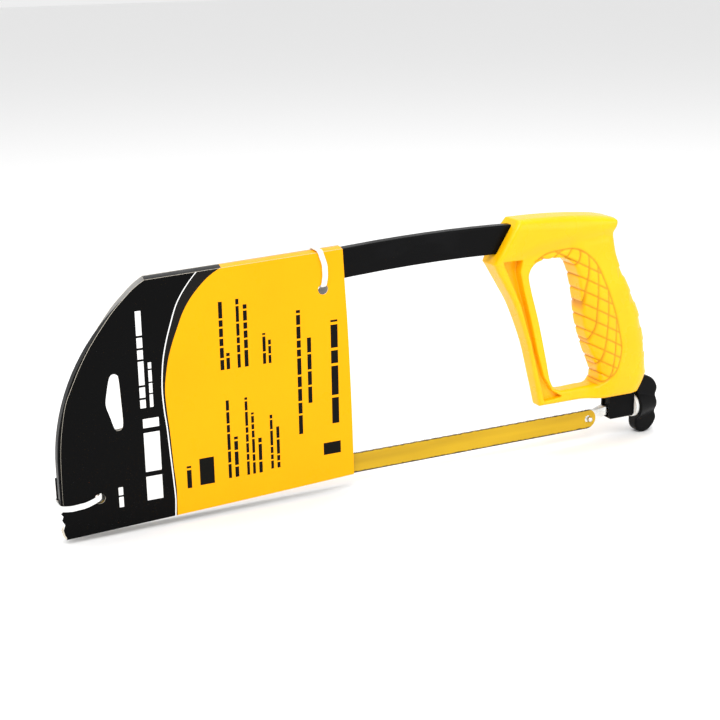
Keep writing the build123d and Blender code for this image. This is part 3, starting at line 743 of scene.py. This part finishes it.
fold_low, fold_high = np.array(CARD_FRONT[-1]), np.array(CARD_FOLD_END)
columns = [fold_low + (fold_high - fold_low) * k / FOLD_COLUMNS for k in range(FOLD_COLUMNS + 1)]
points, used = [], []
for depth in (0.0, CARD_THICK):
    for row in range(FOLD_ROWS):
        turn = math.pi * row / (FOLD_ROWS - 1)
        y = -(CARD_HALF - depth) * math.cos(turn)
        lift = (0.0 - depth) * math.sin(turn) ** 0.5 - FOLD_DROP * math.cos(turn) ** 2
        shift = CARD_SKEW * (0.5 - 0.5 * math.cos(turn))
        points += [(c[0] + shift, y, c[1] + lift) for c in columns]
width = FOLD_COLUMNS + 1
quads = []
for layer in (0, 1):
    base = layer * FOLD_ROWS * width
    for row in range(FOLD_ROWS - 1):
        for k in range(FOLD_COLUMNS):
            a = base + row * width + k
            quad = (a, a + 1, a + 1 + width, a + width)
            quads.append(quad if layer == 0 else quad[::-1])
            used.append(LINER if layer else fold_ink(columns[k][0]))
for k in (0, FOLD_COLUMNS):
    for row in range(FOLD_ROWS - 1):
        a = row * width + k
        b = a + FOLD_ROWS * width
        quads.append((a, a + width, b + width, b))
        used.append(BOARD)
add_piece("card_fold", points, quads, CARD_MATERIALS, "saw", ["display_card"], used)

# ---------------------------------------------------------------- ties

TIE_HALF_WIDTH, TIE_HALF_THICK, TIE_CORNER = 1.5, 0.5, 1.7


def strap_path(corners, radius, steps=6):
    """Closed path with rounded corners, as points and tangents."""
    corners = [np.array(c, float) for c in corners]
    path = []
    for i, corner in enumerate(corners):
        before, after = corners[i - 1], corners[(i + 1) % len(corners)]
        u = (before - corner) / np.linalg.norm(before - corner)
        v = (after - corner) / np.linalg.norm(after - corner)
        for k in range(steps + 1):
            t = k / steps
            path.append(corner + radius * ((1 - t) ** 2 * u + t ** 2 * v))
    return np.array(path)


def strap(path, wide_axis, half_width, half_thick):
    """Sweep of a flat strap along a closed path that lies across wide_axis."""
    count = len(path)
    wide = np.array(wide_axis, float)
    section = [(-1, -0.6), (-0.8, -1), (0.8, -1), (1, -0.6), (1, 0.6), (0.8, 1), (-0.8, 1), (-1, 0.6)]
    points, quads = [], []
    for i in range(count):
        tangent = path[(i + 1) % count] - path[i - 1]
        tangent = tangent / np.linalg.norm(tangent)
        out = np.cross(tangent, wide)
        points += [path[i] + wide * half_width * a + out * half_thick * b for a, b in section]
    sides = len(section)
    for i in range(count):
        for k in range(sides):
            a, b = i * sides + k, i * sides + (k + 1) % sides
            c, d = ((i + 1) % count) * sides + (k + 1) % sides, ((i + 1) % count) * sides + k
            quads.append((a, b, c, d))
    return points, quads


def box_points(x_range, y_range, z_range, bevel=0.5):
    """Box with chamfered corners along Y, as points and faces."""
    (x0, x1), (z0, z1) = x_range, z_range
    ring = [(x0 + bevel, z0), (x1 - bevel, z0), (x1, z0 + bevel), (x1, z1 - bevel), (x1 - bevel, z1),
            (x0 + bevel, z1), (x0, z1 - bevel), (x0, z0 + bevel)]
    points = [(px, y, pz) for y in y_range for px, pz in ring]
    count = len(ring)
    faces = [list(range(count)), list(range(2 * count - 1, count - 1, -1))]
    faces += [[k, k + count, (k + 1) % count + count, (k + 1) % count] for k in range(count)]
    return points, faces


def add_tie(name, corners, wide_axis, head, node_name):
    points, quads = strap(strap_path(corners, TIE_CORNER), wide_axis, TIE_HALF_WIDTH, TIE_HALF_THICK)
    head_points, head_faces = box_points(*head)
    base = len(points)
    faces = [list(q) for q in quads] + [[i + base for i in f] for f in head_faces]
    add_piece(name, list(points) + head_points, faces, [nylon], "saw", [node_name])


add_tie("nose_tie",
        [(-26.2, -5.9, 6.3), (-20.5, -5.9, 5.4), (-13.0, -5.9, 5.9), (-8.4, -5.9, 7.3),
         (-4.6, -5.9, 9.3), (-4.9, 5.9, 8.9), (-15.0, 5.9, 7.4), (-26.2, 5.9, 6.6)],
        (0, 0, 1), ((-17.0, -11.8), (5.4, 8.6), (5.7, 10.1)), "card_tie_front")
add_tie("fold_tie",
        [(123.4, -5.9, 105.2), (124.4, -5.9, 110.6), (124.2, -5.9, 117.0), (121.6, -5.9, 124.9),
         (122.2, 5.9, 124.9), (123.4, 5.9, 114.0), (123.4, 5.9, 105.2)],
        (1, 0, 0), ((121.1, 125.5), (5.4, 8.6), (112.0, 117.2)), "card_tie_rear")

# ---------------------------------------------------------------- CAD pieces keep their shape

CAD_LOOKS = {
    "frame_bow": bow_paint, "front_socket": socket_paint, "rear_socket": socket_paint,
    "front_socket_rivet": zinc, "rear_socket_rivet": socket_paint, "front_stud": zinc, "rear_stud": zinc,
    "front_blade_pin": zinc, "rear_blade_pin": zinc, "tension_washer": nylon, "knob_nut": nut_steel,
}
for name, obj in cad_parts.items():
    obj.data.materials.clear()
    obj.data.materials.append(CAD_LOOKS.get(name, nylon))

# ---------------------------------------------------------------- floor, lights and camera

FLOOR_HALF = 6.0
floor_mesh = bpy.data.meshes.new("floor")
floor_corners = [(-1, -1), (1, -1), (1, 1), (-1, 1)]
floor_mesh.from_pydata([(x * FLOOR_HALF, y * FLOOR_HALF, 0) for x, y in floor_corners], [], [(0, 1, 2, 3)])
floor = bpy.data.objects.new("floor", floor_mesh)
floor_mesh.materials.append(new_material("floor_pale", (0.90, 0.90, 0.90), 0.7))
bpy.context.scene.collection.objects.link(floor)

bpy.context.scene.view_settings.view_transform = "Standard"
world = bpy.data.worlds.new("studio")
world.use_nodes = True
world.node_tree.nodes["Background"].inputs["Color"].default_value = (1.0, 1.0, 1.0, 1)
world.node_tree.nodes["Background"].inputs["Strength"].default_value = 0.86
bpy.context.scene.world = world


def area_light(name, location, target, size, power):
    light = bpy.data.lights.new(name, "AREA")
    light.shape, light.size, light.size_y = "RECTANGLE", size[0], size[1]
    light.energy = power
    obj = bpy.data.objects.new(name, light)
    obj.location = location
    obj.rotation_mode = "QUATERNION"
    obj.rotation_quaternion = (Vector(target) - Vector(location)).to_track_quat("-Z", "Y")
    bpy.context.scene.collection.objects.link(obj)


area_light("key", (-0.7, -0.9, 1.3), (0.05, 0, 0.07), (0.9, 0.7), 15)
area_light("fill", (0.9, -1.1, 0.5), (0.1, 0, 0.06), (1.0, 0.8), 5)
area_light("top", (0.1, 0.2, 1.4), (0.05, 0, 0.07), (1.2, 0.6), 9)

camera_data = bpy.data.cameras.new("camera")
camera_data.lens, camera_data.sensor_width = 70.0, 36.0
camera_data.clip_start, camera_data.clip_end = 0.01, 50.0
camera = bpy.data.objects.new("camera", camera_data)
CAMERA_PLACE = Vector((-173.956, -668.379, 284.627))
CAMERA_RIGHT, CAMERA_UP = (0.89956, -0.43660, -0.01338), (0.13848, 0.25601, 0.95670)
CAMERA_BACK = (-0.41427, -0.86246, 0.29076)
turn = Matrix((CAMERA_RIGHT, CAMERA_UP, CAMERA_BACK)).transposed()
camera.matrix_world = Matrix.Translation(ORIGIN + CAMERA_PLACE * MM) @ turn.to_4x4()
bpy.context.scene.collection.objects.link(camera)
bpy.context.scene.camera = camera
